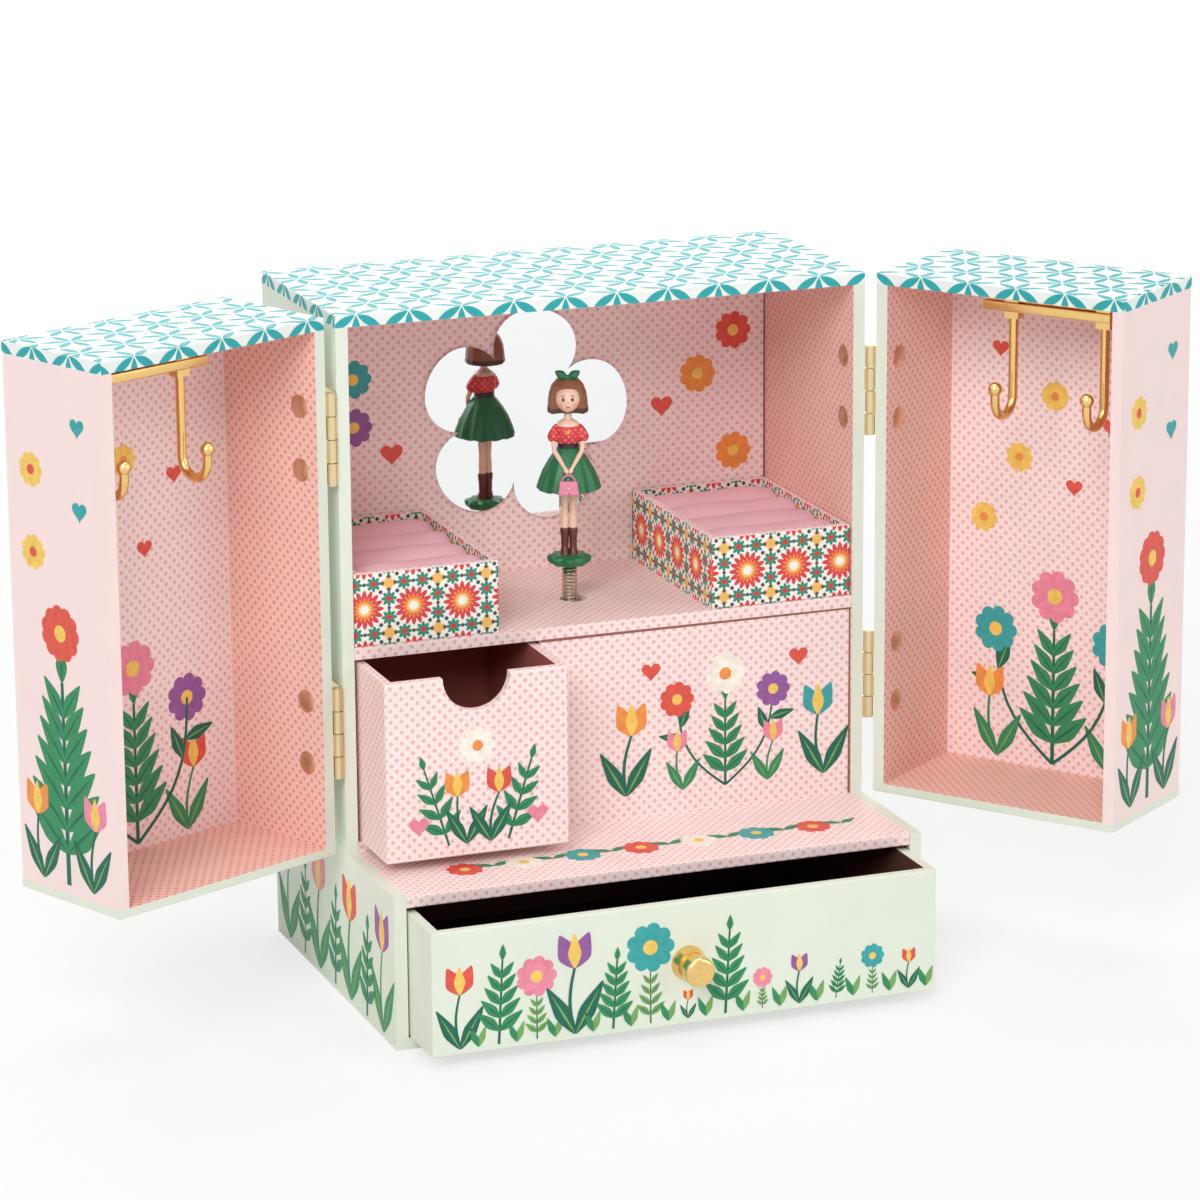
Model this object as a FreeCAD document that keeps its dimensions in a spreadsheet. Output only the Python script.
"""Toy musical jewellery cabinet of paper-wrapped board.

A cabinet with two box-shaped doors stands on a deeper base with a pull-out drawer.  Behind the
doors a shelf carries two ring trays and a small doll on a coil spring, and under the shelf lie a
tall side drawer and a comb-and-cylinder music movement that is wound by a key in the back.

Frame: millimetres, +Z up, front towards -Y, origin in the middle of the underside of the base.
The doors and drawers stand as far open as in the photograph; the doors are drawn closed and then
turned about their hinge pins.
"""
import FreeCAD
import Part
import Sketcher
import math
import os
import re

# Driving dimensions: name, millimetres, degrees or count, and what it measures
DIMENSIONS = (
    ("width", 180.0, "outside width of base and cabinet"),
    ("base_depth", 126.0, "base, front to back"),
    ("cabinet_depth", 78.0, "cabinet without its doors, front to back"),
    ("height", 226.5, "floor to top of roof"),
    ("ledge_height", 50.5, "floor to top of ledge"),
    ("shelf_height", 118.5, "floor to top of shelf"),
    ("board", 4.0, "outer board with its paper"),
    ("thin_board", 2.5, "inner board with its paper"),
    ("edge_round", 0.6, "rounding of wrapped edges"),
    ("front_setback", 0.5, "shelf and fascia behind the cabinet's front edge"),
    ("door_gap", 0.5, "closed door to cabinet front"),
    ("door_centre_gap", 1.0, "between the two closed doors"),
    ("door_floor_gap", 0.4, "door above ledge"),
    ("door_floor_board", 3.0, "floor board of a door"),
    ("left_door_angle", 155.6, "left door, open as photographed"),
    ("right_door_angle", 126.2, "right door, open as photographed"),
    ("hinge_length", 30.0, "hinge, along its pin"),
    ("upper_hinge_height", 187.3, "floor to middle of upper hinges"),
    ("lower_hinge_height", 91.3, "floor to middle of lower hinges"),
    ("knuckle_count", 4, "knuckles on one hinge"),
    ("knuckle_gap", 0.3, "between neighbouring knuckles"),
    ("barrel_radius", 1.7, "hinge barrel, outside"),
    ("barrel_offset", 2.0, "hinge pin axis outside the side panel"),
    ("hinge_pin_radius", 0.8, "hinge pin"),
    ("pin_clearance", 0.05, "radial running clearance of pins and arbors"),
    ("leaf_thickness", 0.8, "hinge leaf"),
    ("leaf_width", 14.0, "pin axis to far edge of a leaf"),
    ("leaf_relief", 0.3, "leaf to the other leaf's knuckles"),
    ("rivet_radius", 1.4, "rivet shank"),
    ("rivet_head_radius", 3.8, "domed rivet head"),
    ("rivet_head_height", 1.1, "domed rivet head"),
    ("rivet_tail_radius", 2.2, "flat rivet tail on the leaf"),
    ("rivet_tail_height", 0.5, "flat rivet tail on the leaf"),
    ("rivet_spacing", 20.5, "between the two rivets of a leaf"),
    ("rivet_inset", 8.0, "board edge to rivets"),
    ("rail_length", 46.0, "hook rail"),
    ("rail_depth", 5.0, "hook rail, front to back"),
    ("rail_thickness", 2.4, "hook rail"),
    ("rail_setback", 12.0, "door's open edge to hook stems"),
    ("left_rail_inset", 0.6, "free wall to end of left rail"),
    ("right_rail_inset", 5.5, "free wall to end of right rail"),
    ("hook_overhang", 3.0, "end of rail to first hook"),
    ("hook_spacing", 33.0, "between the hooks of a rail"),
    ("hook_drop", 41.0, "door roof to lowest point of a hook"),
    ("hook_radius", 6.0, "bend of a hook, at the wire's middle"),
    ("hook_wire_radius", 1.5, "hook wire"),
    ("hook_tip_rise", 2.6, "straight end of a hook"),
    ("hook_button_radius", 2.3, "button on a hook's end"),
    ("hook_block_width", 5.0, "square block where a hook meets the rail"),
    ("hook_block_height", 6.0, "square block where a hook meets the rail"),
    ("drawer_board", 3.0, "drawer walls and floors"),
    ("drawer_gap", 0.6, "drawer to each neighbour at its sides"),
    ("drawer_float", 0.3, "drawer above the board that it slides on"),
    ("drawer_headroom", 1.4, "drawer below the board above it"),
    ("drawer_over_door", 0.2, "pulled side drawer above the closed door's floor"),
    ("base_drawer_depth", 120.0, "base drawer, front to back"),
    ("base_drawer_pull", 22.0, "base drawer, open as photographed"),
    ("drawer_rivet_gap", 0.2, "side drawer to the rivet heads beside it"),
    ("side_drawer_depth", 72.0, "side drawer, front to back"),
    ("side_drawer_pull", 26.5, "side drawer, open as photographed"),
    ("notch_radius", 11.3, "thumb notch in the side drawer"),
    ("knob_flange_radius", 5.8, "drawer knob, against the drawer"),
    ("knob_flange_length", 3.6, "drawer knob, against the drawer"),
    ("knob_neck_radius", 4.0, "drawer knob, neck"),
    ("knob_neck_length", 1.8, "drawer knob, neck"),
    ("knob_head_radius", 4.9, "drawer knob, head"),
    ("knob_head_length", 5.6, "drawer knob, head"),
    ("knob_screw_radius", 1.3, "screw in the drawer knob"),
    ("knob_screw_depth", 6.0, "screw in the drawer knob"),
    ("screw_head_radius", 2.6, "heads of all screws"),
    ("screw_head_height", 1.5, "heads of all screws"),
    ("screw_clearance", 0.05, "screw shanks in their holes"),
    ("tray_width", 49.0, "ring tray"),
    ("tray_depth", 72.0, "ring tray, front to back"),
    ("tray_height", 24.0, "ring tray"),
    ("tray_wall", 2.2, "ring tray wall and floor"),
    ("tray_gap", 0.3, "ring tray to the cabinet walls"),
    ("pad_gap", 0.3, "ring pad to its tray"),
    ("pad_rolls", 4, "rolls of a ring pad"),
    ("pad_crown", 3.4, "top of a roll above the slot beside it"),
    ("mirror_radius", 37.0, "flower mirror, to the petal tips"),
    ("mirror_notch", 22.0, "flower mirror, to the notches"),
    ("mirror_petals", 5, "petals of the flower mirror"),
    ("mirror_turn", 10.0, "first petal from upright"),
    ("mirror_thickness", 1.2, "flower mirror"),
    ("mirror_rise", 0.3, "middle of flower mirror above the middle of its wall"),
    ("mirror_offset", 1.8, "middle of flower mirror left of the cabinet's middle"),
    ("spindle_offset", 1.3, "doll's spindle left of the cabinet's middle"),
    ("spindle_inset", 31.7, "cabinet front to doll's spindle"),
    ("spindle_hole_radius", 4.5, "hole in the shelf"),
    ("arbor_radius", 1.2, "cylinder arbor"),
    ("boss_radius", 2.0, "pegs in the coil spring"),
    ("boss_height", 3.6, "pegs in the coil spring"),
    ("collar_radius", 2.8, "collar under the coil spring"),
    ("collar_height", 1.0, "collar under the coil spring"),
    ("collar_depth", 2.6, "shelf top down to the coil spring's seat"),
    ("coil_radius", 2.34, "coil spring, at the wire's middle"),
    ("coil_wire", 0.5, "coil spring wire"),
    ("coil_turns", 12, "whole turns of the coil spring"),
    ("coil_show", 12.0, "coil spring above the shelf"),
    ("figure_turn", 20.0, "doll's front towards the left"),
    ("figure_height", 66.0, "doll with its stand and bow"),
    ("gear_module", 0.8, "module of all gears"),
    ("crown_teeth", 26, "crown wheel on the spring barrel"),
    ("pinion_teeth", 8, "pinions"),
    ("wheel_teeth", 28, "wheel under the pinned cylinder"),
    ("tooth_tip", 0.6, "tooth above its pitch line"),
    ("tooth_root", 0.9, "tooth below its pitch line"),
    ("mesh_slack", 0.1, "extra distance between meshing gears"),
    ("face_width", 2.0, "gear teeth, along the axle"),
    ("barrel_depth", 14.0, "spring barrel"),
    ("barrel_rim", 1.2, "spring barrel outside the crown teeth's middle"),
    ("key_arbor_radius", 2.0, "winding arbor"),
    ("key_hole_radius", 4.5, "hole in back panel and block"),
    ("key_hub_radius", 3.8, "winding key hub"),
    ("key_hub_length", 8.0, "winding key hub"),
    ("key_standoff", 1.2, "back panel to winding key"),
    ("key_lobe_radius", 6.5, "winding key wings"),
    ("key_eye_radius", 3.2, "holes in the winding key's wings"),
    ("key_thickness", 2.4, "winding key wings"),
    ("bedplate_standoff", 19.3, "cylinder arbor to bedplate"),
    ("bedplate_thickness", 3.0, "bedplate"),
    ("bedplate_left", 18.5, "cylinder arbor to left edge of bedplate"),
    ("divider_gap", 0.5, "bedplate to the divider beside it"),
    ("bedplate_right", 35.0, "cylinder arbor to right edge of bedplate"),
    ("bedplate_margin", 1.5, "bedplate above ledge"),
    ("arm_width", 9.0, "arbor bearing arms"),
    ("arm_height", 3.0, "arbor bearing arms"),
    ("governor_arm_width", 5.0, "governor bearing arms"),
    ("governor_arm_height", 2.5, "governor bearing arms"),
    ("governor_radius", 0.8, "governor spindle"),
    ("governor_bearing", 120.0, "direction from cylinder to governor"),
    ("fly_radius", 5.8, "governor vanes"),
    ("fly_thickness", 0.6, "governor vanes"),
    ("train_gap", 0.8, "running gap between neighbours in the movement"),
    ("cylinder_radius", 6.5, "pinned cylinder"),
    ("pin_height", 0.45, "pins on the cylinder"),
    ("pin_width", 0.4, "pins on the cylinder"),
    ("pins_per_track", 4, "pins on the cylinder for each comb tooth"),
    ("comb_teeth", 18, "teeth of the comb"),
    ("comb_gap", 0.25, "comb tips to pins"),
    ("comb_thickness", 1.2, "comb"),
    ("comb_tooth_length", 13.0, "shortest comb tooth"),
    ("comb_slant", 4.0, "longest comb tooth, longer by"),
    ("comb_base", 10.0, "comb behind its teeth"),
    ("movement_screw_radius", 1.3, "screws of the movement"),
    ("bedplate_screw_depth", 10.0, "screws in the wooden block"),
    ("comb_screw_depth", 8.0, "screws in the comb's seat"),
)

doc = FreeCAD.newDocument("JewelleryCabinet")
sheet = doc.addObject("Spreadsheet::Sheet", "dims")
for row, (alias, number, note) in enumerate(DIMENSIONS, start=1):
    sheet.set(f"A{row}", note)
    sheet.set(f"B{row}", str(number))
    sheet.setAlias(f"B{row}", alias)
doc.recompute()

ALIASES = re.compile(r"\b(" + "|".join(alias for alias, _, _ in DIMENSIONS) + r")\b")
NODES = []

# Places that several pieces share, as formulas in the driving dimensions
HALF_WIDTH = "(width / 2)"
INNER_HALF = "(width / 2 - board)"
BASE_FRONT = "(-base_depth / 2)"
BACK = "(base_depth / 2)"
BACK_INNER = "(base_depth / 2 - board)"
CABINET_FRONT = "(base_depth / 2 - cabinet_depth)"
INNER_FRONT = f"({CABINET_FRONT} + front_setback)"
ROOF_UNDER = "(height - board)"
LEDGE_UNDER = "(ledge_height - board)"
SHELF_UNDER = "(shelf_height - board)"
DOOR_FLOOR = "(ledge_height + door_floor_gap)"
DOOR_FLOOR_TOP = f"({DOOR_FLOOR} + door_floor_board)"
SILL_TOP = f"({DOOR_FLOOR_TOP} + drawer_over_door - drawer_float)"
DOOR_EDGE = f"({CABINET_FRONT} - door_gap)"
DOOR_FREE = "(door_centre_gap / 2)"
HINGE_Y = f"({CABINET_FRONT} - door_gap / 2)"
HINGE_X = "(width / 2 + barrel_offset)"
SPINDLE_X = "(-spindle_offset)"
SPINDLE_Y = f"({CABINET_FRONT} + spindle_inset)"
DIVIDER_X = f"({SPINDLE_X} - bedplate_left - divider_gap - thin_board)"
MIRROR_Z = f"((shelf_height + {ROOF_UNDER}) / 2 + mirror_rise)"


def bound(text):
    """A formula with the sheet's name in front of each driving dimension."""
    return ALIASES.sub(r"dims.\1", str(text))


def value(text):
    """The number that a formula gives now."""
    return float(sheet.evalExpression(bound(text)))


def count(text):
    """A driving dimension that is a whole number."""
    return int(round(value(text)))


def drive(thing, **formulas):
    """Ties properties of an object to formulas."""
    for name, text in formulas.items():
        thing.setExpression(name, bound(text))
    return thing


def vector(x, y, z):
    return f"create(<<vector>>; {x}; {y}; {z})"


def placement(at=(0, 0, 0), axis=(0, 0, 1), angle=0, centre=(0, 0, 0)):
    """A turn about an axis through a centre, then a shift, as a formula."""
    turn = f"create(<<rotation>>; {vector(*axis)}; {angle})"
    return f"create(<<placement>>; {vector(*at)}; {turn}; {vector(*centre)})"


# Turns that lay a shape drawn along Z along another axis
ALONG = {
    "z": ((0, 0, 1), 0),
    "y": ((1, 0, 0), -90),
    "-y": ((1, 0, 0), 90),
    "x": ((0, 1, 0), 90),
    "-x": ((0, 1, 0), -90),
}


def laid(at, along):
    axis, angle = ALONG[along]
    return placement(at, axis, angle)


def box(name, size, at):
    """A board or block from its size and its lowest corner."""
    thing = doc.addObject("Part::Box", name)
    return drive(thing, Length=size[0], Width=size[1], Height=size[2], Placement=placement(at))


def cylinder(name, radius, length, at, along="z"):
    thing = doc.addObject("Part::Cylinder", name)
    return drive(thing, Radius=radius, Height=length, Placement=laid(at, along))


def cone(name, radius, end_radius, length, at, along="z"):
    thing = doc.addObject("Part::Cone", name)
    return drive(thing, Radius1=radius, Radius2=end_radius, Height=length, Placement=laid(at, along))


def ball(name, radius, at):
    thing = doc.addObject("Part::Sphere", name)
    return drive(thing, Radius=radius, Placement=placement(at))


def dome(name, radius, height, at, along):
    """A shallow spherical cap that stands on its flat face."""
    ball = f"(({radius})^2 + ({height})^2) / (2 * ({height}))"
    axis, angle = ALONG[along]
    seat = placement((0, 0, f"-({ball} - ({height}))"))
    thing = doc.addObject("Part::Sphere", name)
    lowest = f"asin(1 - ({height}) / ({ball}))"
    stood = f"{placement(at, axis, angle)} * {seat}"
    return drive(thing, Radius=ball, Angle1=lowest, Placement=stood)


def fuse(name, *parts):
    thing = doc.addObject("Part::MultiFuse", name)
    thing.Shapes = list(parts)
    return thing


def cut(name, base, *tools):
    tool = tools[0] if len(tools) == 1 else group(f"{name}_tools", *tools)
    thing = doc.addObject("Part::Cut", name)
    thing.Base = base
    thing.Tool = tool
    return thing


def group(name, *parts):
    """Separate solids kept together as one set."""
    thing = doc.addObject("Part::Compound", name)
    thing.Links = list(parts)
    return thing


def shaped(name, shape, at=None):
    """A piece whose form comes from a formula or an outline of arcs."""
    thing = doc.addObject("Part::Feature", name)
    thing.Shape = shape
    if at is not None:
        drive(thing, Placement=placement(at))
    return thing


def soften(name, base, *sides):
    """Rounds the edges round the named sides of a box-like piece."""
    doc.recompute()
    limits = base.Shape.BoundBox
    tests = {
        "left": lambda box: box.XMax - limits.XMin,
        "right": lambda box: limits.XMax - box.XMin,
        "front": lambda box: box.YMax - limits.YMin,
        "back": lambda box: limits.YMax - box.YMin,
        "bottom": lambda box: box.ZMax - limits.ZMin,
        "top": lambda box: limits.ZMax - box.ZMin,
    }
    close = 1e-4
    radius = value("edge_round")
    edges = []
    for number, edge in enumerate(base.Shape.Edges, start=1):
        if any(tests[side](edge.BoundBox) < close for side in sides):
            edges.append((number, radius, radius))
    thing = doc.addObject("Part::Fillet", name)
    thing.Base = base
    thing.Edges = edges
    return thing


def node(thing, turn=None):
    """Lists a finished piece, turned to its place where a door carries it."""
    thing.Label = thing.Name
    if turn is not None:
        drive(thing, Placement=turn)
    NODES.append(thing)
    return thing


def across(side, near, far):
    """Lowest X and extent of a stretch that runs outwards from the cabinet's middle."""
    lowest = f"({near})" if side == "right" else f"(-({far}))"
    return lowest, f"(({far}) - ({near}))"


def outward(side, distance):
    """X of a place at a distance from the cabinet's middle plane."""
    return f"({distance})" if side == "right" else f"(-({distance}))"


def swing(side):
    """The turn that opens a closed door."""
    angle = "right_door_angle" if side == "right" else "-left_door_angle"
    return placement(angle=angle, centre=(outward(side, HINGE_X), HINGE_Y, 0))


SIDES = ("left", "right")
HINGES = {"upper": "upper_hinge_height", "lower": "lower_hinge_height"}


# Case of base and cabinet

def rivet_places(z):
    return (f"({z} - rivet_spacing / 2)", f"({z} + rivet_spacing / 2)")


def rivet_holes(name, side, y):
    """Holes for the rivets of both hinges in a side board."""
    holes = []
    x, length = across(side, "width / 2 - board - 1", "width / 2 + leaf_thickness + 1")
    for hinge, z in HINGES.items():
        for number, place in enumerate(rivet_places(z), start=1):
            hole = f"{name}_{hinge}_hole_{number}"
            holes.append(cylinder(hole, "rivet_radius + screw_clearance", length, (x, y, place), "x"))
    return holes


def side_outline(name):
    """Flat L-shaped side: deep at the base, less deep above the ledge."""
    body = doc.addObject("PartDesign::Body", name)
    sketch = body.newObject("Sketcher::SketchObject", f"{name}_outline")
    plane = next(item for item in body.Origin.OriginFeatures if item.Role == "YZ_Plane")
    sketch.AttachmentSupport = [(plane, "")]
    sketch.MapMode = "FlatFace"
    corners = (
        ("0", "0"),
        ("base_depth", "0"),
        ("base_depth", "height - board"),
        ("base_depth - cabinet_depth", "height - board"),
        ("base_depth - cabinet_depth", "ledge_height"),
        ("0", "ledge_height"),
    )
    points = [FreeCAD.Vector(value(along), value(up), 0) for along, up in corners]
    for start, end in zip(points, points[1:] + points[:1]):
        sketch.addGeometry(Part.LineSegment(start, end), False)
    for number in range(len(corners)):
        after = (number + 1) % len(corners)
        sketch.addConstraint(Sketcher.Constraint("Coincident", number, 2, after, 1))
        direction = "Horizontal" if number % 2 == 0 else "Vertical"
        sketch.addConstraint(Sketcher.Constraint(direction, number))
    sketch.addConstraint(Sketcher.Constraint("Coincident", 0, 1, -1, 1))
    sizes = (
        ("DistanceX", 0, "base_depth"),
        ("DistanceY", 1, "height - board"),
        ("DistanceX", 4, "base_depth - cabinet_depth"),
        ("DistanceY", 5, "ledge_height"),
    )
    for kind, line, text in sizes:
        start, end = (2, 1) if line in (4, 5) else (1, 2)
        constraint = Sketcher.Constraint(kind, line, start, line, end, value(text))
        place = sketch.addConstraint(constraint)
        sketch.setExpression(f"Constraints[{place}]", bound(text))
    pad = body.newObject("PartDesign::Pad", f"{name}_pad")
    pad.Profile = sketch
    drive(pad, Length="board")
    return body


def case():
    rivet_y = f"({CABINET_FRONT} + rivet_inset)"
    for side in SIDES:
        body = side_outline(f"{side}_side_blank")
        x, _ = across(side, INNER_HALF, HALF_WIDTH)
        drive(body, Placement=placement((x, BASE_FRONT, 0)))
        node(cut(f"{side}_side_panel", body, *rivet_holes(f"{side}_side", side, rivet_y)))

    inner_width = "(width - 2 * board)"
    inner_left = f"(-{INNER_HALF})"
    inner_depth = "(base_depth - board)"
    roof_at = (f"-{HALF_WIDTH}", CABINET_FRONT, ROOF_UNDER)
    roof = box("roof_blank", ("width", "cabinet_depth", "board"), roof_at)
    node(soften("roof_panel", roof, "top"))
    node(box("bottom_panel", (inner_width, inner_depth, "board"), (inner_left, BASE_FRONT, 0)))
    ledge_at = (inner_left, BASE_FRONT, LEDGE_UNDER)
    ledge = box("ledge_blank", (inner_width, inner_depth, "board"), ledge_at)
    node(soften("ledge_panel", ledge, "front"))

    back = box("back_blank", (inner_width, "board", ROOF_UNDER), (inner_left, BACK_INNER, 0))
    key_at = (SPINDLE_X, f"{BACK_INNER} - 1", BARREL_Z)
    key_hole = cylinder("back_key_hole", "key_hole_radius", "board + 2", key_at, "y")
    node(cut("back_panel", back, key_hole))

    shelf_depth = "(cabinet_depth - board - front_setback)"
    shelf = box("shelf_blank", (inner_width, shelf_depth, "board"), (inner_left, INNER_FRONT, SHELF_UNDER))
    hole_at = (0, SPINDLE_Y, f"{SHELF_UNDER} - 1")
    hole = cylinder("shelf_hole", "spindle_hole_radius", "board + 2", hole_at)
    node(cut("shelf_panel", shelf, hole))

    storey = f"({SHELF_UNDER} - ledge_height)"
    fascia_size = (f"{INNER_HALF} - {DIVIDER_X}", "thin_board", storey)
    node(box("movement_fascia", fascia_size, (DIVIDER_X, INNER_FRONT, "ledge_height")))
    divider_y = f"({INNER_FRONT} + thin_board)"
    divider_depth = f"({BACK_INNER} - {divider_y})"
    sill_depth = f"({BACK_INNER} - {INNER_FRONT})"
    sill_size = (f"{DIVIDER_X} - {inner_left}", sill_depth, f"{SILL_TOP} - ledge_height")
    node(box("drawer_sill", sill_size, (inner_left, INNER_FRONT, "ledge_height")))
    divider_size = ("thin_board", divider_depth, storey)
    node(box("compartment_divider", divider_size, (DIVIDER_X, divider_y, "ledge_height")))


# Doors

def hinge_leaf(name, side, z, fixed):
    """One leaf of one hinge: plate, tabs and every second knuckle."""
    plate_x, plate_width = across(side, HALF_WIDTH, "width / 2 + leaf_thickness")
    clear = "(barrel_radius + leaf_relief)"
    bottom = f"({z} - hinge_length / 2)"
    pitch = "(hinge_length / knuckle_count)"
    length = f"({pitch} - knuckle_gap)"
    plate_y = f"({HINGE_Y} + {clear})" if fixed else f"({HINGE_Y} - leaf_width)"
    tab_y = HINGE_Y if fixed else f"({HINGE_Y} - {clear})"
    plate_depth = f"(leaf_width - {clear})"
    plate_size = (plate_width, plate_depth, "hinge_length")
    pieces = [box(f"{name}_plate", plate_size, (plate_x, plate_y, bottom))]
    axis_x = outward(side, HINGE_X)
    for number in range(0 if fixed else 1, count("knuckle_count"), 2):
        low = f"({bottom} + {number} * {pitch} + knuckle_gap / 2)"
        pieces.append(box(f"{name}_tab_{number}", (plate_width, clear, length), (plate_x, tab_y, low)))
        pieces.append(cylinder(f"{name}_knuckle_{number}", "barrel_radius", length, (axis_x, HINGE_Y, low)))
    blank = fuse(f"{name}_blank", *pieces)
    bore_radius = "hinge_pin_radius + pin_clearance"
    bore_at = (axis_x, HINGE_Y, f"{bottom} - 1")
    bore = cylinder(f"{name}_bore", bore_radius, "hinge_length + 2", bore_at)
    rivet_y = f"({CABINET_FRONT} + rivet_inset)" if fixed else f"({DOOR_EDGE} - rivet_inset)"
    holes = []
    for number, place in enumerate(rivet_places(z), start=1):
        hole = f"{name}_rivet_hole_{number}"
        radius = "rivet_radius + screw_clearance"
        x, long = across(side, "width / 2 - 1", "width / 2 + leaf_thickness + 1")
        holes.append(cylinder(hole, radius, long, (x, rivet_y, place), "x"))
    return cut(name, blank, bore, *holes)


def rivets(name, side, y):
    """Rivets through board and leaf: domed head inside, flat tail outside."""
    made = []
    outer, inner = ("x", "-x") if side == "right" else ("-x", "x")
    for hinge, z in HINGES.items():
        for number, place in enumerate(rivet_places(z), start=1):
            stem = f"{name}_{hinge}_{number}"
            length = "(board + leaf_thickness)"
            x = outward(side, INNER_HALF)
            tail_x = outward(side, "width / 2 + leaf_thickness")
            shank = cylinder(f"{stem}_shank", "rivet_radius", length, (x, y, place), outer)
            head = dome(f"{stem}_head", "rivet_head_radius", "rivet_head_height", (x, y, place), inner)
            tail_at = (tail_x, y, place)
            tail = cylinder(f"{stem}_tail", "rivet_tail_radius", "rivet_tail_height", tail_at, outer)
            made.append(fuse(stem, shank, head, tail))
    return made


def hinges():
    """Brass butt hinges at the cabinet's outer front corners."""
    cabinet_rivets = []
    for side in SIDES:
        fixed = []
        moving = []
        pins = []
        for hinge, z in HINGES.items():
            fixed.append(hinge_leaf(f"{side}_{hinge}_cabinet_leaf", side, z, True))
            moving.append(hinge_leaf(f"{side}_{hinge}_door_leaf", side, z, False))
            at = (outward(side, HINGE_X), HINGE_Y, f"{z} - hinge_length / 2")
            pins.append(cylinder(f"{side}_{hinge}_pin", "hinge_pin_radius", "hinge_length", at))
        node(group(f"{side}_cabinet_leaves", *fixed))
        node(group(f"{side}_door_leaves", *moving), swing(side))
        node(group(f"{side}_hinge_pins", *pins))
        cabinet_rivets += rivets(f"{side}_cabinet_rivet", side, f"({CABINET_FRONT} + rivet_inset)")
        door_rivets = rivets(f"{side}_door_rivet", side, f"({DOOR_EDGE} - rivet_inset)")
        node(group(f"{side}_door_rivets", *door_rivets), swing(side))
    node(group("cabinet_rivets", *cabinet_rivets))


def hook(name, x, y):
    """A hook of round wire: block, stem, half-round bend, end and button."""
    roof = ROOF_UNDER
    bend_z = f"({roof} - hook_drop + hook_wire_radius + hook_radius)"
    block_top = f"({roof} - rail_thickness)"
    block_low = f"({block_top} - hook_block_height)"
    half = "hook_block_width / 2"
    block = box(
        f"{name}_block",
        ("hook_block_width", "hook_block_width - 1", "hook_block_height"),
        (f"{x} - {half}", f"{y} - {half} + 0.5", block_low),
    )
    stem = cylinder(f"{name}_stem", "hook_wire_radius", f"{block_top} - {bend_z}", (x, y, bend_z))
    bend = doc.addObject("Part::Torus", f"{name}_bend")
    middle = (x, f"{y} + hook_radius", bend_z)
    drive(bend, Radius1="hook_radius", Radius2="hook_wire_radius", Angle3="180")
    drive(bend, Placement=placement(middle, (-1, -1, 1), 120))
    tip_y = f"({y} + 2 * hook_radius)"
    tip = cylinder(f"{name}_tip", "hook_wire_radius", "hook_tip_rise", (x, tip_y, bend_z))
    button_at = (x, tip_y, f"{bend_z} + hook_tip_rise + hook_button_radius / 2")
    button = ball(f"{name}_button", "hook_button_radius", button_at)
    return [block, stem, bend, tip, button]


def hook_rail(side):
    inset = f"{DOOR_FREE} + board + {side}_rail_inset"
    x, length = across(side, inset, f"{inset} + rail_length")
    y = f"({DOOR_EDGE} - rail_setback)"
    at = (x, f"{y} - rail_depth / 2", f"{ROOF_UNDER} - rail_thickness")
    pieces = [box(f"{side}_rail", (length, "rail_depth", "rail_thickness"), at)]
    for number, along in enumerate(("hook_overhang", "hook_overhang + hook_spacing"), start=1):
        pieces += hook(f"{side}_hook_{number}", outward(side, f"{inset} + {along}"), y)
    node(fuse(f"{side}_hook_rail", *pieces), swing(side))


def door(side):
    """An open box: roof, floor, front, hinge wall and free wall."""
    turn = swing(side)
    x, wide = across(side, DOOR_FREE, HALF_WIDTH)
    depth = f"({DOOR_EDGE} - {BASE_FRONT})"
    wall_low = DOOR_FLOOR_TOP
    wall_high = f"({ROOF_UNDER} - {wall_low})"
    wall_y = f"({BASE_FRONT} + board)"
    wall_depth = f"({DOOR_EDGE} - {wall_y})"
    roof = box(f"{side}_door_roof_blank", (wide, depth, "board"), (x, BASE_FRONT, ROOF_UNDER))
    node(soften(f"{side}_door_roof", roof, "top"), turn)
    floor_size = (wide, depth, "door_floor_board")
    floor = box(f"{side}_door_floor_blank", floor_size, (x, BASE_FRONT, DOOR_FLOOR))
    node(soften(f"{side}_door_floor", floor, "bottom"), turn)
    front = box(f"{side}_door_front_blank", (wide, "board", wall_high), (x, BASE_FRONT, wall_low))
    node(soften(f"{side}_door_front", front, "front"), turn)
    hinge_x, _ = across(side, INNER_HALF, HALF_WIDTH)
    wall_size = ("board", wall_depth, wall_high)
    hinge_wall = box(f"{side}_hinge_wall_blank", wall_size, (hinge_x, wall_y, wall_low))
    holes = rivet_holes(f"{side}_hinge_wall", side, f"({DOOR_EDGE} - rivet_inset)")
    node(cut(f"{side}_door_hinge_wall", hinge_wall, *holes), turn)
    free_x, _ = across(side, DOOR_FREE, f"{DOOR_FREE} + board")
    node(box(f"{side}_door_free_wall", wall_size, (0, 0, 0)))
    free_place = f"{turn} * {placement((free_x, wall_y, wall_low))}"
    drive(NODES[-1], Placement=free_place)


# Drawers

def drawer_box(name, x, wide, front_y, depth, low, high):
    """Back, two sides and floor behind a drawer's front."""
    y = f"({front_y} + drawer_board)"
    inner = f"({depth} - 2 * drawer_board)"
    right = f"({x} + {wide} - drawer_board)"
    node(box(f"{name}_left_side", ("drawer_board", f"{depth} - drawer_board", high), (x, y, low)))
    node(box(f"{name}_right_side", ("drawer_board", f"{depth} - drawer_board", high), (right, y, low)))
    between = f"({wide} - 2 * drawer_board)"
    inner_x = f"({x} + drawer_board)"
    back_y = f"({front_y} + {depth} - drawer_board)"
    node(box(f"{name}_back", (between, "drawer_board", high), (inner_x, back_y, low)))
    node(box(f"{name}_floor", (between, inner, "drawer_board"), (inner_x, y, low)))


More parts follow.
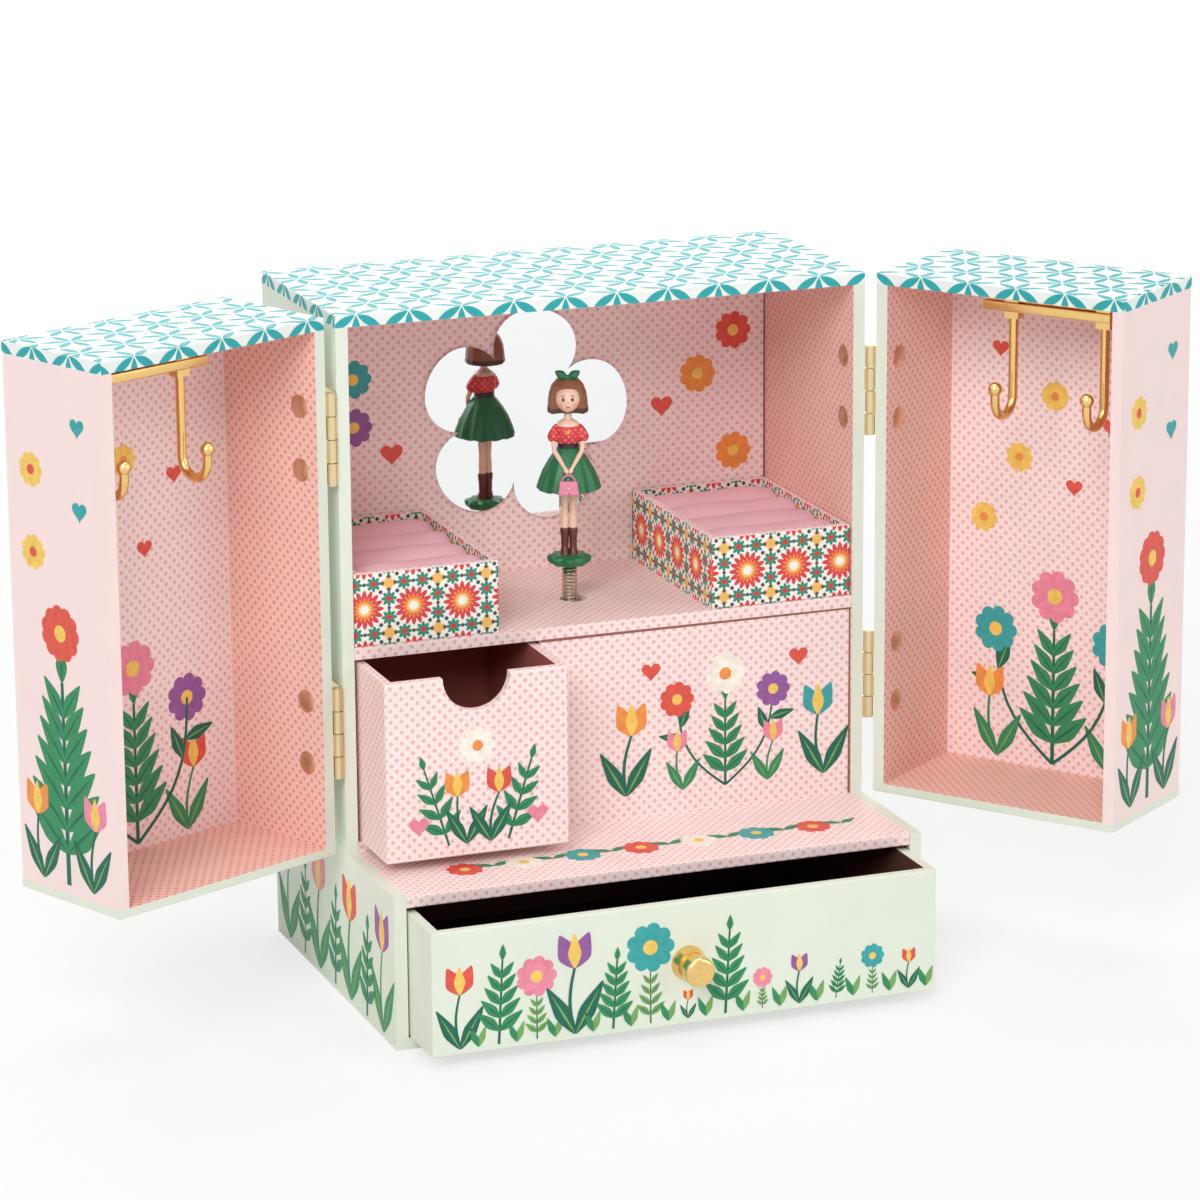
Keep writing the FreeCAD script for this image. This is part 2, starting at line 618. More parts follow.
def base_drawer():
    x = f"(-{INNER_HALF} + drawer_gap)"
    wide = f"(2 * ({INNER_HALF} - drawer_gap))"
    front_y = f"({BASE_FRONT} - base_drawer_pull)"
    low = "(board + drawer_float)"
    high = f"({LEDGE_UNDER} - drawer_headroom - {low})"
    knob_z = f"({low} + {high} / 2)"
    blank = box("base_front_blank", (wide, "drawer_board", high), (x, front_y, low))
    rounded = soften("base_front_round", blank, "front")
    hole_radius = "knob_screw_radius + screw_clearance"
    hole_at = (0, f"{front_y} - 1", knob_z)
    hole = cylinder("base_front_hole", hole_radius, "drawer_board + 2", hole_at, "y")
    node(cut("base_drawer_front", rounded, hole))
    drawer_box("base_drawer", x, wide, front_y, "base_drawer_depth", low, high)

    neck_y = f"({front_y} - knob_flange_length)"
    head_y = f"({neck_y} - knob_neck_length)"
    flange_at = (0, front_y, knob_z)
    flange_end = "knob_neck_radius + 0.8"
    flange = cone("knob_flange", "knob_flange_radius", flange_end, "knob_flange_length", flange_at, "-y")
    neck = cylinder("knob_neck", "knob_neck_radius", "knob_neck_length", (0, neck_y, knob_z), "-y")
    head = cylinder("knob_head", "knob_head_radius", "knob_head_length", (0, head_y, knob_z), "-y")
    doc.recompute()
    round_head = doc.addObject("Part::Fillet", "knob_head_round")
    round_head.Base = head
    rim = value("knob_head_length") / 4
    circles = [number for number, edge in enumerate(head.Shape.Edges, start=1) if edge.Closed]
    round_head.Edges = [(number, rim, rim) for number in circles]
    blank = fuse("knob_blank", flange, neck, round_head)
    bore = cylinder("knob_bore", hole_radius, "knob_screw_depth + 0.5", (0, front_y, knob_z), "-y")
    node(cut("drawer_knob", blank, bore))
    inside = f"({front_y} + drawer_board)"
    screw_at = (0, inside, knob_z)
    shank_length = "knob_screw_depth + drawer_board"
    shank = cylinder("knob_screw_shank", "knob_screw_radius", shank_length, screw_at, "-y")
    cap = cylinder("knob_screw_head", "screw_head_radius", "screw_head_height", screw_at, "y")
    node(fuse("knob_screw", shank, cap))


def side_drawer():
    x = f"(-{INNER_HALF} + rivet_head_height + drawer_rivet_gap)"
    wide = f"({DIVIDER_X} - drawer_gap - {x})"
    front_y = f"({INNER_FRONT} - side_drawer_pull)"
    low = f"({SILL_TOP} + drawer_float)"
    high = f"({SHELF_UNDER} - drawer_headroom - {low})"
    blank = box("side_front_blank", (wide, "drawer_board", high), (x, front_y, low))
    rounded = soften("side_front_round", blank, "front")
    notch_at = (f"{x} + {wide} / 2", f"{front_y} - 1", f"{low} + {high}")
    notch = cylinder("side_front_notch", "notch_radius", "drawer_board + 2", notch_at, "y")
    node(cut("side_drawer_front", rounded, notch))
    drawer_box("side_drawer", x, wide, front_y, "side_drawer_depth", low, high)


# Fittings on the shelf

def ring_tray(side):
    x, wide = across(side, f"{INNER_HALF} - tray_gap - tray_width", f"{INNER_HALF} - tray_gap")
    y = f"({INNER_FRONT} + tray_gap)"
    outer = box(f"{side}_tray_blank", (wide, "tray_depth", "tray_height"), (x, y, "shelf_height"))
    rounded = soften(f"{side}_tray_round", outer, "top", "front")
    inner_size = (f"{wide} - 2 * tray_wall", "tray_depth - 2 * tray_wall", "tray_height")
    inner_at = (f"{x} + tray_wall", f"{y} + tray_wall", "shelf_height + tray_wall")
    inner = box(f"{side}_tray_hollow", inner_size, inner_at)
    node(cut(f"{side}_ring_tray", rounded, inner))

    gap = "(tray_wall + pad_gap)"
    at = (f"{x} + {gap}", f"{y} + {gap}", "shelf_height + tray_wall")
    length = value(f"{wide} - 2 * {gap}")
    node(shaped(f"{side}_ring_pad", pad_shape(length), at))


def pad_shape(length):
    """Soft pad of parallel rolls, crowned between the slots that hold the rings."""
    depth = value("tray_depth - 2 * (tray_wall + pad_gap)")
    slot = value("tray_height - tray_wall - pad_crown")
    crown = value("pad_crown")
    rolls = count("pad_rolls")
    pitch = depth / rolls
    edges = [Part.LineSegment(FreeCAD.Vector(0, depth, slot), FreeCAD.Vector(0, depth, 0))]
    edges.append(Part.LineSegment(FreeCAD.Vector(0, depth, 0), FreeCAD.Vector(0, 0, 0)))
    edges.append(Part.LineSegment(FreeCAD.Vector(0, 0, 0), FreeCAD.Vector(0, 0, slot)))
    for number in range(rolls):
        start = FreeCAD.Vector(0, number * pitch, slot)
        top = FreeCAD.Vector(0, (number + 0.5) * pitch, slot + crown)
        end = FreeCAD.Vector(0, (number + 1) * pitch, slot)
        edges.append(Part.Arc(start, top, end))
    wire = Part.Wire(Part.__sortEdges__([edge.toShape() for edge in edges]))
    return Part.Face(wire).extrude(FreeCAD.Vector(length, 0, 0))


def mirror_shape():
    """Flower outline of arcs: two shoulders and a tip for each petal."""
    tip = value("mirror_radius")
    notch = value("mirror_notch")
    petals = count("mirror_petals")
    shoulder = tip - (tip - notch) / 10
    flank = notch + (tip - notch) * 0.6
    half = 180 / petals
    turn = value("mirror_turn")

    def place(radius, angle):
        bearing = math.radians(angle + turn)
        return FreeCAD.Vector(radius * math.sin(bearing), 0, radius * math.cos(bearing))

    edges = []
    for number in range(petals):
        axis = number * 2 * half
        spots = [
            place(notch, axis - half),
            place(flank, axis - 0.75 * half),
            place(shoulder, axis - 0.42 * half),
            place(tip, axis),
            place(shoulder, axis + 0.42 * half),
            place(flank, axis + 0.75 * half),
            place(notch, axis + half),
        ]
        for first in (0, 2, 4):
            edges.append(Part.Arc(*spots[first:first + 3]).toShape())
    face = Part.Face(Part.Wire(Part.__sortEdges__(edges)))
    return face.extrude(FreeCAD.Vector(0, -value("mirror_thickness"), 0))


# Music movement

MOVEMENT_LOW = "(ledge_height + bedplate_margin)"
MOVEMENT_HIGH = f"({SHELF_UNDER} - 2 * bedplate_margin)"
LOWER_ARM_TOP = f"({MOVEMENT_LOW} + arm_height)"
CROWN_RADIUS = "(gear_module * crown_teeth / 2)"
PINION_RADIUS = "(gear_module * pinion_teeth / 2)"
WHEEL_RADIUS = "(gear_module * wheel_teeth / 2)"
CROWN_OUTSIDE = f"({CROWN_RADIUS} + barrel_rim)"
BARREL_Z = f"({LOWER_ARM_TOP} + train_gap + {CROWN_OUTSIDE})"
CROWN_Y = f"({SPINDLE_Y} + {PINION_RADIUS} + mesh_slack)"
BARREL_FRONT = f"({CROWN_Y} + tooth_root)"
GOVERNOR_LOW = f"({BARREL_Z} + {CROWN_OUTSIDE} + train_gap)"
WHEEL_LOW = f"({GOVERNOR_LOW} + governor_arm_height + train_gap)"
CYLINDER_LOW = f"({WHEEL_LOW} + face_width + train_gap)"
UPPER_ARM_LOW = f"({MOVEMENT_HIGH} - arm_height)"
CYLINDER_HIGH = f"({UPPER_ARM_LOW} - train_gap)"
BEDPLATE_Y = f"({SPINDLE_Y} + bedplate_standoff)"
BEDPLATE_BACK = f"({BEDPLATE_Y} + bedplate_thickness)"
GOVERNOR_REACH = f"({WHEEL_RADIUS} + {PINION_RADIUS} + mesh_slack)"
GOVERNOR_X = f"({SPINDLE_X} + {GOVERNOR_REACH} * cos(governor_bearing))"
GOVERNOR_Y = f"({SPINDLE_Y} + {GOVERNOR_REACH} * sin(governor_bearing))"
GOVERNOR_HIGH = f"({CYLINDER_HIGH} - 2 * governor_arm_height)"
COMB_TIP_X = f"({SPINDLE_X} + cylinder_radius + pin_height + comb_gap)"
COMB_SEAT_X = f"({COMB_TIP_X} + comb_tooth_length + comb_slant)"
SEAT_Z = "(shelf_height - collar_depth)"
FIGURE_Z = "(shelf_height + coil_show)"

# Widths of a gear tooth at root, pitch line and tip, as shares of the tooth pitch
ROOT_SHARE = 0.50
TIP_SHARE = 0.20
# Steps of pins round the cylinder, so that neighbouring tracks sound at different times
TRACK_STEP = 137.5
PIN_STEP = 83.0


def gear_shape(teeth, first_angle):
    """Flat gear with straight-flanked teeth, the first one centred at an angle."""
    pitch_radius = value("gear_module") * teeth / 2
    tip = pitch_radius + value("tooth_tip")
    root = pitch_radius - value("tooth_root")
    pitch = 360 / teeth
    points = []
    for number in range(teeth):
        middle = first_angle + number * pitch
        flanks = ((root, -ROOT_SHARE), (tip, -TIP_SHARE), (tip, TIP_SHARE), (root, ROOT_SHARE))
        for radius, share in flanks:
            angle = math.radians(middle + share * pitch / 2)
            points.append(FreeCAD.Vector(radius * math.cos(angle), radius * math.sin(angle), 0))
    face = Part.Face(Part.makePolygon(points + points[:1]))
    return face.extrude(FreeCAD.Vector(0, 0, value("face_width")))


def crown_teeth_shape():
    """Ring of teeth on the front of the spring barrel, with a gap at the lowest place."""
    teeth = count("crown_teeth")
    middle = value(CROWN_RADIUS)
    half_width = value("face_width") / 2
    pitch = 2 * math.pi * middle / teeth
    high = value("tooth_tip + tooth_root")
    sunk = value("barrel_rim") / 2
    profile = [
        FreeCAD.Vector(-ROOT_SHARE * pitch / 2, sunk, 0),
        FreeCAD.Vector(-ROOT_SHARE * pitch / 2, 0, 0),
        FreeCAD.Vector(-TIP_SHARE * pitch / 2, -high, 0),
        FreeCAD.Vector(TIP_SHARE * pitch / 2, -high, 0),
        FreeCAD.Vector(ROOT_SHARE * pitch / 2, 0, 0),
        FreeCAD.Vector(ROOT_SHARE * pitch / 2, sunk, 0),
    ]
    face = Part.Face(Part.makePolygon(profile + profile[:1]))
    tooth = face.extrude(FreeCAD.Vector(0, 0, 2 * half_width))
    tooth.translate(FreeCAD.Vector(0, 0, middle - half_width))
    ring = []
    for number in range(teeth):
        copy = tooth.copy()
        copy.rotate(FreeCAD.Vector(0, 0, 0), FreeCAD.Vector(0, 1, 0), 180 + (number + 0.5) * 360 / teeth)
        ring.append(copy)
    return Part.makeCompound(ring)


def bedplate():
    """Cast plate with the bearing arms and the comb's seat, on a wooden block."""
    left = f"({SPINDLE_X} - bedplate_left)"
    wide = "(bedplate_left + bedplate_right)"
    high = f"({MOVEMENT_HIGH} - {MOVEMENT_LOW})"
    block_depth = f"({BACK_INNER} - {BEDPLATE_BACK})"
    block = box("block_blank", (wide, block_depth, high), (left, BEDPLATE_BACK, MOVEMENT_LOW))
    plate = box("bedplate_plate", (wide, "bedplate_thickness", high), (left, BEDPLATE_Y, MOVEMENT_LOW))

    arm_y = f"({SPINDLE_Y} - arm_width / 2)"
    arm_size = ("arm_width", f"{BEDPLATE_Y} - {SPINDLE_Y}", "arm_height")
    pieces = [plate]
    for name, low in (("lower", MOVEMENT_LOW), ("upper", UPPER_ARM_LOW)):
        pieces.append(box(f"{name}_arm", arm_size, (f"{SPINDLE_X} - arm_width / 2", SPINDLE_Y, low)))
        end = (SPINDLE_X, SPINDLE_Y, low)
        pieces.append(cylinder(f"{name}_arm_end", "arm_width / 2", "arm_height", end))
    governor_size = ("governor_arm_width", f"{BEDPLATE_Y} - {GOVERNOR_Y}", "governor_arm_height")
    for name, low in (("lower", GOVERNOR_LOW), ("upper", GOVERNOR_HIGH)):
        corner = (f"{GOVERNOR_X} - governor_arm_width / 2", GOVERNOR_Y, low)
        pieces.append(box(f"{name}_governor_arm", governor_size, corner))
        end = (GOVERNOR_X, GOVERNOR_Y, low)
        half = "governor_arm_width / 2"
        pieces.append(cylinder(f"{name}_governor_end", half, "governor_arm_height", end))
    seat_y = f"({SPINDLE_Y} + comb_thickness / 2)"
    seat_size = ("comb_base", f"{BEDPLATE_Y} - {seat_y}", f"{CYLINDER_HIGH} - {CYLINDER_LOW}")
    pieces.append(box("comb_seat", seat_size, (COMB_SEAT_X, seat_y, CYLINDER_LOW)))
    blank = fuse("bedplate_blank", *pieces)

    arbor_at = (SPINDLE_X, SPINDLE_Y, f"{MOVEMENT_LOW} - 1")
    key_at = (SPINDLE_X, f"{BEDPLATE_Y} - 1", BARREL_Z)
    governor_at = (GOVERNOR_X, GOVERNOR_Y, f"{GOVERNOR_LOW} - 1")
    key_bore = "key_arbor_radius + pin_clearance"
    governor_bore = "governor_radius + pin_clearance"
    governor_long = f"{GOVERNOR_HIGH} - {GOVERNOR_LOW} + 5"
    bores = [
        cylinder("arbor_bore", "arbor_radius + pin_clearance", f"{high} + 2", arbor_at),
        cylinder("key_bore", key_bore, "bedplate_thickness + 2", key_at, "y"),
        cylinder("governor_bore", governor_bore, governor_long, governor_at),
    ]
    shank = "movement_screw_radius + screw_clearance"
    screw_x = (f"({left} + 2 * screw_head_radius)", f"({left} + {wide} - 2 * screw_head_radius)")
    screw_z = (f"({MOVEMENT_LOW} + 2 * screw_head_radius)", f"({CYLINDER_LOW} - 2 * screw_head_radius)")
    screws, block_holes = [], []
    for number, (x, z) in enumerate([(x, z) for x in screw_x for z in screw_z], start=1):
        start = (x, f"{BEDPLATE_Y} - 1", z)
        bores.append(cylinder(f"bedplate_hole_{number}", shank, "bedplate_thickness + 2", start, "y"))
        deep = "bedplate_thickness + bedplate_screw_depth"
        block_holes.append(cylinder(f"block_hole_{number}", shank, f"{deep} + 1.5", start, "y"))
        stem = f"bedplate_screw_{number}"
        seat = (x, BEDPLATE_Y, z)
        shaft = cylinder(f"{stem}_shank", "movement_screw_radius", deep, seat, "y")
        cap = cylinder(f"{stem}_head", "screw_head_radius", "screw_head_height", seat, "-y")
        screws.append(fuse(stem, shaft, cap))
    comb_screws = []
    comb_front = f"({SPINDLE_Y} - comb_thickness / 2)"
    comb_span = f"({CYLINDER_HIGH} - {CYLINDER_LOW})"
    for number, share in enumerate((0.25, 0.75), start=1):
        x = f"({COMB_SEAT_X} + comb_base / 2)"
        z = f"({CYLINDER_LOW} + {comb_span} * {share})"
        deep = "comb_thickness + comb_screw_depth"
        stem = f"comb_screw_{number}"
        seat = (x, comb_front, z)
        bores.append(cylinder(f"comb_hole_{number}", shank, f"{deep} + 0.5", seat, "y"))
        shaft = cylinder(f"{stem}_shank", "movement_screw_radius", deep, seat, "y")
        cap = cylinder(f"{stem}_head", "screw_head_radius", "screw_head_height", seat, "-y")
        comb_screws.append(fuse(stem, shaft, cap))
    node(cut("bedplate", blank, *bores))
    tunnel_at = (SPINDLE_X, f"{BEDPLATE_BACK} - 1", BARREL_Z)
    key_tunnel = cylinder("block_key_hole", "key_hole_radius", f"{block_depth} + 2", tunnel_at, "y")
    node(cut("movement_block", block, key_tunnel, *block_holes))
    node(group("bedplate_screws", *screws))
    node(group("comb_screws", *comb_screws))


def comb_shape():
    """Steel comb: teeth that lengthen steadily from the high notes to the low ones."""
    teeth = count("comb_teeth")
    span = value(f"{CYLINDER_HIGH} - {CYLINDER_LOW}")
    pitch = span / teeth
    slot = 0.3 * pitch
    base_x = value("comb_tooth_length + comb_slant")
    end_x = base_x + value("comb_base")
    points = [FreeCAD.Vector(end_x, 0, 0)]
    points.append(FreeCAD.Vector(end_x, 0, span))
    for number in reversed(range(teeth)):
        low = number * pitch + slot / 2
        high = (number + 1) * pitch - slot / 2
        root = base_x - value("comb_slant") * number / (teeth - 1)
        points += [
            FreeCAD.Vector(root, 0, high),
            FreeCAD.Vector(0, 0, high),
            FreeCAD.Vector(0, 0, low),
            FreeCAD.Vector(root, 0, low),
        ]
    face = Part.Face(Part.makePolygon(points + points[:1]))
    return face.extrude(FreeCAD.Vector(0, value("comb_thickness"), 0))


def pinned_cylinder_shape():
    """Drum with a row of short pins for each comb tooth, bored for its arbor."""
    radius = value("cylinder_radius")
    long = value(f"{CYLINDER_HIGH} - {CYLINDER_LOW}")
    width = value("pin_width")
    height = value("pin_height")
    teeth = count("comb_teeth")
    pins = []
    for track in range(teeth):
        for number in range(count("pins_per_track")):
            corner = FreeCAD.Vector(radius - height, -width / 2, -width / 2)
            pin = Part.makeBox(2 * height, width, width, corner)
            angle = track * TRACK_STEP + number * PIN_STEP
            pin.rotate(FreeCAD.Vector(0, 0, 0), FreeCAD.Vector(0, 0, 1), angle)
            pin.translate(FreeCAD.Vector(0, 0, (track + 0.5) * long / teeth))
            pins.append(pin)
    drum = Part.makeCylinder(radius, long).cut(Part.makeCylinder(value("arbor_radius"), long))
    return drum.multiFuse(pins)


def movement():
    bedplate()
    comb_at = (COMB_TIP_X, f"{SPINDLE_Y} - comb_thickness / 2", CYLINDER_LOW)
    comb = shaped("comb_blank", comb_shape(), comb_at)
    holes = [doc.getObject(f"comb_hole_{number}") for number in (1, 2)]
    node(cut("comb", comb, *holes))

    barrel_at = (SPINDLE_X, BARREL_FRONT, BARREL_Z)
    barrel = cylinder("barrel_drum", CROWN_OUTSIDE, "barrel_depth", barrel_at, "y")
    crown = shaped("barrel_crown", crown_teeth_shape(), barrel_at)
    blank = fuse("barrel_blank", barrel, crown)
    bore_at = (SPINDLE_X, f"{BARREL_FRONT} - 2", BARREL_Z)
    bore = cylinder("barrel_bore", "key_arbor_radius + pin_clearance", "barrel_depth + 4", bore_at, "y")
    node(cut("spring_barrel", blank, bore))

    hub_y = f"({BACK} + key_standoff)"
    arbor = cylinder("key_arbor", "key_arbor_radius", f"{hub_y} - {BARREL_FRONT}", barrel_at, "y")
    hub = cylinder("key_hub", "key_hub_radius", "key_hub_length", (SPINDLE_X, hub_y, BARREL_Z), "y")
    wing_y = f"({hub_y} + key_hub_length + 0.5 * key_lobe_radius)"
    wing_x = f"({SPINDLE_X} - key_thickness / 2)"
    lobes, eyes = [], []
    for number, direction in enumerate((-1, 1), start=1):
        lobe_z = f"({BARREL_Z} + {direction} * 1.15 * key_lobe_radius)"
        lobe_at = (wing_x, wing_y, lobe_z)
        eye_at = (f"{wing_x} - 1", wing_y, lobe_z)
        lobes.append(cylinder(f"key_lobe_{number}", "key_lobe_radius", "key_thickness", lobe_at, "x"))
        eyes.append(cylinder(f"key_eye_{number}", "key_eye_radius", "key_thickness + 2", eye_at, "x"))
    web_y = f"({hub_y} + key_hub_length - 1)"
    web_size = ("key_thickness", f"{wing_y} - {web_y}", "2 * key_hub_radius")
    web = box("key_web", web_size, (wing_x, web_y, f"{BARREL_Z} - key_hub_radius"))
    node(cut("winding_key", fuse("key_blank", arbor, hub, web, *lobes), *eyes))

    gap_angle = 180 / count("pinion_teeth")
    pinion = gear_shape(count("pinion_teeth"), value("governor_bearing") + 180 + gap_angle)
    governor_long = f"{GOVERNOR_HIGH} + governor_arm_height - {GOVERNOR_LOW}"
    governor_at = (GOVERNOR_X, GOVERNOR_Y, GOVERNOR_LOW)
    fly_low = f"({WHEEL_LOW} + face_width + train_gap)"
    fly_at = (f"{GOVERNOR_X} - fly_radius", f"{GOVERNOR_Y} - fly_thickness / 2", fly_low)
    fly_size = ("2 * fly_radius", "fly_thickness", f"{GOVERNOR_HIGH} - train_gap - {fly_low}")
    node(fuse(
        "governor_fly",
        cylinder("governor_spindle", "governor_radius", governor_long, governor_at),
        shaped("governor_pinion", pinion, (GOVERNOR_X, GOVERNOR_Y, WHEEL_LOW)),
        box("governor_vanes", fly_size, fly_at),
    ))


# Doll on its coil spring

def spindle():
    """Arbor with pinion, wheel and the peg that the coil spring sits on."""
    foot = f"({MOVEMENT_LOW} - 0.3)"
    pinion_low = f"({BARREL_Z} - {CROWN_RADIUS} - face_width / 2)"
    pinion = gear_shape(count("pinion_teeth"), 90)
    wheel = gear_shape(count("wheel_teeth"), value("governor_bearing"))
    collar_low = f"({SEAT_Z} - collar_height)"
    node(fuse(
        "dancer_spindle",
        cylinder("spindle_arbor", "arbor_radius", f"{collar_low} - {foot}", (SPINDLE_X, SPINDLE_Y, foot)),
        shaped("spindle_pinion", pinion, (SPINDLE_X, SPINDLE_Y, pinion_low)),
        shaped("spindle_wheel", wheel, (SPINDLE_X, SPINDLE_Y, WHEEL_LOW)),
        cylinder("spindle_collar", "collar_radius", "collar_height", (SPINDLE_X, SPINDLE_Y, collar_low)),
        cylinder("spindle_peg", "boss_radius", "boss_height", (SPINDLE_X, SPINDLE_Y, SEAT_Z)),
    ))
    node(shaped("music_cylinder", pinned_cylinder_shape(), (SPINDLE_X, SPINDLE_Y, CYLINDER_LOW)))


def arc_from(start, tangent, end):
    """The arc that leaves a point along a tangent and ends at another point."""
    chord = end.sub(start)
    along = FreeCAD.Vector(chord).normalize()
    side = tangent.sub(FreeCAD.Vector(along).multiply(tangent.dot(along)))
    angle = tangent.getAngle(chord)
    rise = chord.Length / 2 * math.tan(angle / 2)
    middle = start.add(chord.multiply(0.5)).add(side.normalize().multiply(rise))
    return Part.Arc(start, middle, end).toShape()


def biarc(start, start_tangent, end, end_tangent):
    """Two arcs that join two points with given directions and meet smoothly."""
    span = end.sub(start)
    both = start_tangent.add(end_tangent)
    spread = 2 * (1 - start_tangent.dot(end_tangent))
    reach = (math.sqrt(span.dot(both) ** 2 + spread * span.dot(span)) - span.dot(both)) / spread
    first = start.add(FreeCAD.Vector(start_tangent).multiply(reach))
    second = end.sub(FreeCAD.Vector(end_tangent).multiply(reach))
    joint = first.add(second).multiply(0.5)
    joint_tangent = second.sub(first).normalize()
    return [arc_from(start, start_tangent, joint), arc_from(joint, joint_tangent, end)]


def coil_spring_shape():
    """One unbroken wire: a short upright end, the turns, and an upright end."""
    radius = value("coil_radius")
    wire = value("coil_wire")
    turns = count("coil_turns")
    total = value(f"{FIGURE_Z} - {SEAT_Z}")
    end = 2 * wire
    pitch = (total - 2 * end) / turns
    slope = pitch / (2 * math.pi * radius)
    level = 1 / math.hypot(1, slope)

    def place(turn):
        angle = 2 * math.pi * turn
        return FreeCAD.Vector(radius * math.cos(angle), radius * math.sin(angle), end + pitch * turn)

    def heading(turn):
        angle = 2 * math.pi * turn
        return FreeCAD.Vector(-level * math.sin(angle), level * math.cos(angle), level * slope)

    upright = FreeCAD.Vector(0, 0, 1)
    bend = wire * 1.2
    first_bend = place(0).sub(FreeCAD.Vector(0, bend, bend))
    last_bend = place(turns).add(FreeCAD.Vector(0, bend, bend))
    foot = FreeCAD.Vector(first_bend.x, first_bend.y, 0)
    top = FreeCAD.Vector(last_bend.x, last_bend.y, total)
    edges = [Part.LineSegment(foot, first_bend).toShape()]
    edges += biarc(first_bend, upright, place(0), heading(0))
    for quarter in range(4 * turns):
        turn, after = quarter / 4, (quarter + 1) / 4
        edges += biarc(place(turn), heading(turn), place(after), heading(after))
    edges += biarc(place(turns), heading(turns), last_bend, upright)
    edges.append(Part.LineSegment(last_bend, top).toShape())
    path = Part.Wire(edges)
    ring = Part.Wire(Part.Circle(foot, upright, wire / 2).toShape())
    tube = path.makePipeShell([ring], True, False)
    print_least_gap(edges, wire)
    expected = math.pi * (wire / 2) ** 2 * path.Length
    print(f"coil spring volume {tube.Volume:.3f} mm3, section times length {expected:.3f} mm3")
    return tube


def print_least_gap(edges, wire):
    """Prints how near the coil spring's wire comes to itself."""
    points = []
    length = 0.0
    for edge in edges:
        for point in edge.discretize(4)[:-1]:
            points.append((length, point))
            length += edge.Length / 3
    least = min(
        first.distanceToPoint(second)
        for place, first in points
        for other, second in points
        if other - place > 6 * wire
    )
    print(f"coil spring: least gap between neighbouring turns {least - wire:.2f} mm")


def figure_profile():
    """Turned outline of the doll: stand, boots, legs, bell skirt, belt, blouse and neck."""
    unit = value("figure_height") / 66
    spots = (
        (0.0, 2.4), (2.9, 2.4), (2.4, 7.2), (3.1, 11.4), (2.7, 12.2), (3.1, 26.0), (10.3, 25.2),
        (3.3, 39.2), (3.3, 40.4), (4.3, 41.0), (3.6, 48.0), (1.3, 48.8), (1.2, 52.5), (0.0, 52.5),
    )
    points = [FreeCAD.Vector(radius * unit, 0, height * unit) for radius, height in spots]
    hem, waist = points[6], points[7]
    swell = hem.add(waist).multiply(0.5).add(FreeCAD.Vector(1.6 * unit, 0, 0.9 * unit))
    edges = []
    for start, end in zip(points, points[1:] + points[:1]):
        if start is hem:
            edges.append(Part.Arc(hem, swell, waist).toShape())
        else:
            edges.append(Part.LineSegment(start, end).toShape())
    face = Part.Face(Part.Wire(edges))
    return face.revolve(FreeCAD.Vector(0, 0, 0), FreeCAD.Vector(0, 0, 1), 360)


def limb(name, start, end, radius, end_radius):
    """Tapered limb between two places given in the doll's own units."""
    unit = value("figure_height") / 66
    first = FreeCAD.Vector(*start).multiply(unit)
    last = FreeCAD.Vector(*end).multiply(unit)
    way = last.sub(first)
    return shaped(name, Part.makeCone(radius * unit, end_radius * unit, way.Length, first, way))


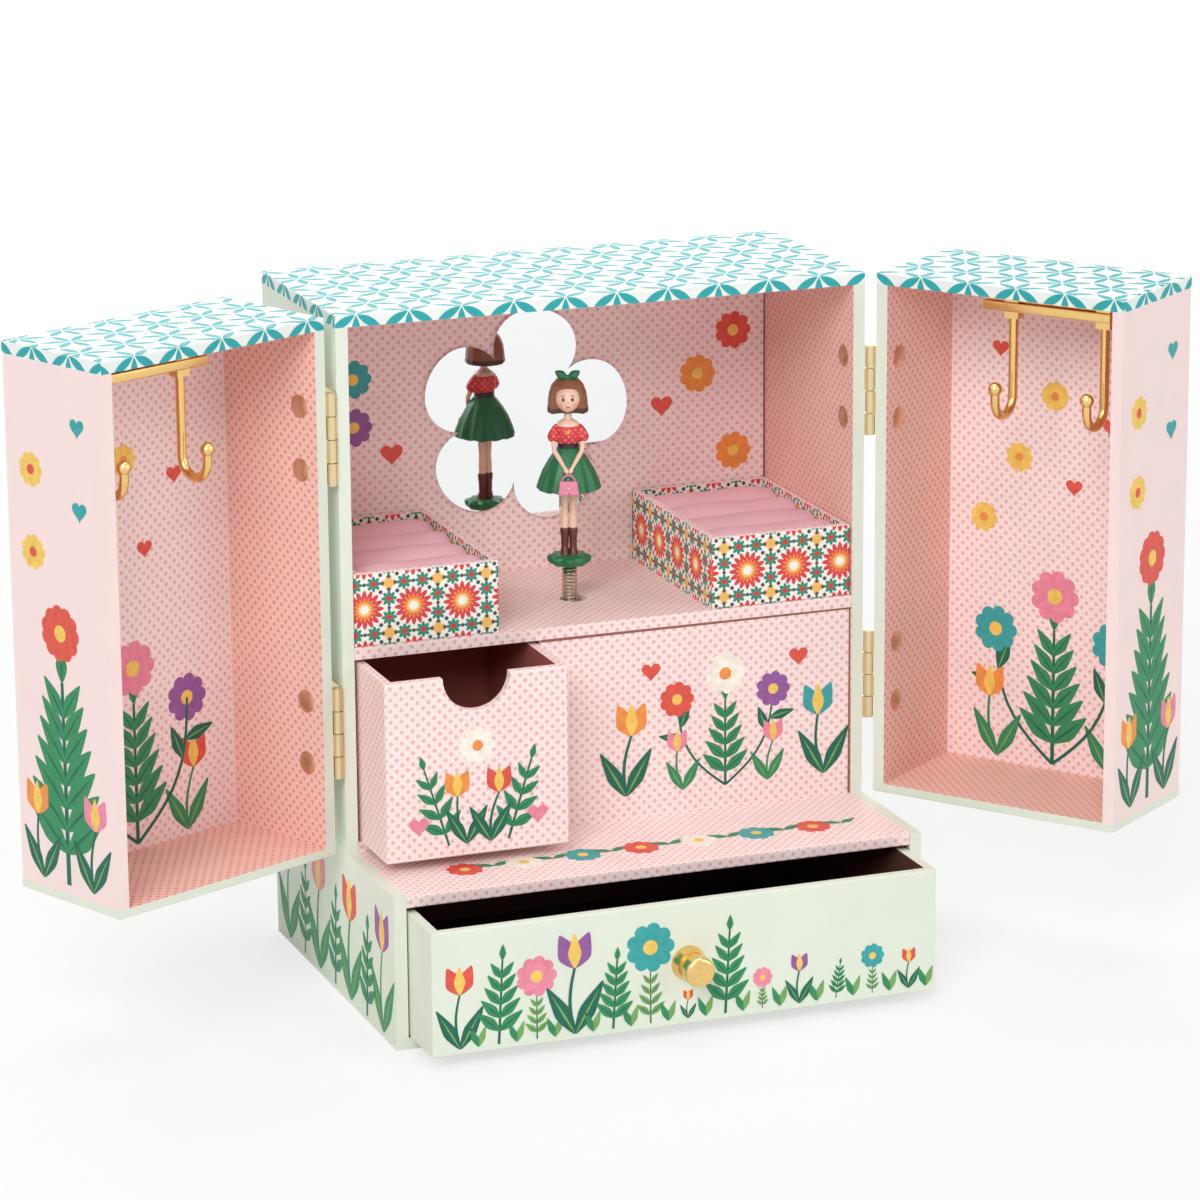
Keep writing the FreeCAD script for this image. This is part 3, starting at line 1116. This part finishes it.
def doll():
    unit = "(figure_height / 66)"
    lobes = 8
    pieces = [cylinder("stand_middle", f"5.4 * {unit}", f"3.2 * {unit}", (0, 0, 0))]
    for number in range(lobes):
        angle = number * 360 / lobes
        at = (f"4.9 * {unit} * cos({angle})", f"4.9 * {unit} * sin({angle})", 0)
        pieces.append(cone(f"stand_lobe_{number}", f"2.2 * {unit}", f"2.7 * {unit}", f"3 * {unit}", at))
    pieces.append(shaped("doll_body", figure_profile()))
    pieces.append(cylinder("doll_peg", "boss_radius", "boss_height + 1", (0, 0, "-boss_height")))
    for side, way in (("left", -1), ("right", 1)):
        pieces.append(limb(f"doll_{side}_sleeve", (3.0 * way, 0, 47.4), (5.0 * way, -0.9, 41.2), 1.5, 2.1))
        pieces.append(limb(f"doll_{side}_arm", (4.7 * way, -1.0, 42.0), (0.9 * way, -7.4, 33.2), 0.85, 0.75))
        pieces.append(limb(f"doll_{side}_bow", (0.3 * way, -1.2, 62.2), (4.2 * way, -1.6, 65.2), 0.5, 1.1))
    bag = (f"6.4 * {unit}", f"3.4 * {unit}", f"5 * {unit}")
    pieces.append(box("doll_bag", bag, (f"-3.2 * {unit}", f"-11 * {unit}", f"25 * {unit}")))
    pieces.append(ball("doll_head", f"4.6 * {unit}", (0, f"-1.6 * {unit}", f"55.6 * {unit}")))
    pieces.append(ball("doll_crown", f"5.8 * {unit}", (0, f"0.8 * {unit}", f"57.2 * {unit}")))
    bob_at = (0, f"1.2 * {unit}", f"51.8 * {unit}")
    pieces.append(cone("doll_bob", f"6.5 * {unit}", f"5.4 * {unit}", f"5.4 * {unit}", bob_at))
    turn = placement((SPINDLE_X, SPINDLE_Y, FIGURE_Z), angle="-figure_turn")
    node(fuse("dancer_figure", *pieces), turn)


def shelf_fittings():
    for side in SIDES:
        ring_tray(side)
    middle = ("-mirror_offset", BACK_INNER, MIRROR_Z)
    node(shaped("flower_mirror", mirror_shape(), middle))


def dancer():
    spindle()
    spring = shaped("dancer_spring", coil_spring_shape(), (SPINDLE_X, SPINDLE_Y, SEAT_Z))
    node(spring)
    doll()


def report_faults():
    """Names of objects that failed to build or have no sound shape."""
    faults = []
    for thing in doc.Objects:
        if {"Invalid", "Error"} & set(thing.State):
            faults.append(f"{thing.Name}: {thing.State}")
    for thing in NODES:
        if thing.Shape.isNull() or not thing.Shape.isValid() or not thing.Shape.Solids:
            faults.append(f"{thing.Name}: no sound solid")
    return faults


def main():
    case()
    hinges()
    for side in SIDES:
        door(side)
        hook_rail(side)
    base_drawer()
    side_drawer()
    shelf_fittings()
    movement()
    dancer()
    doc.recompute()
    faults = report_faults()
    if faults:
        raise RuntimeError("; ".join(faults))
    os.makedirs("parts", exist_ok=True)
    for thing in NODES:
        thing.Shape.exportStep(os.path.join("parts", f"{thing.Label}.step"))
    print(f"{len(NODES)} pieces written")


main()
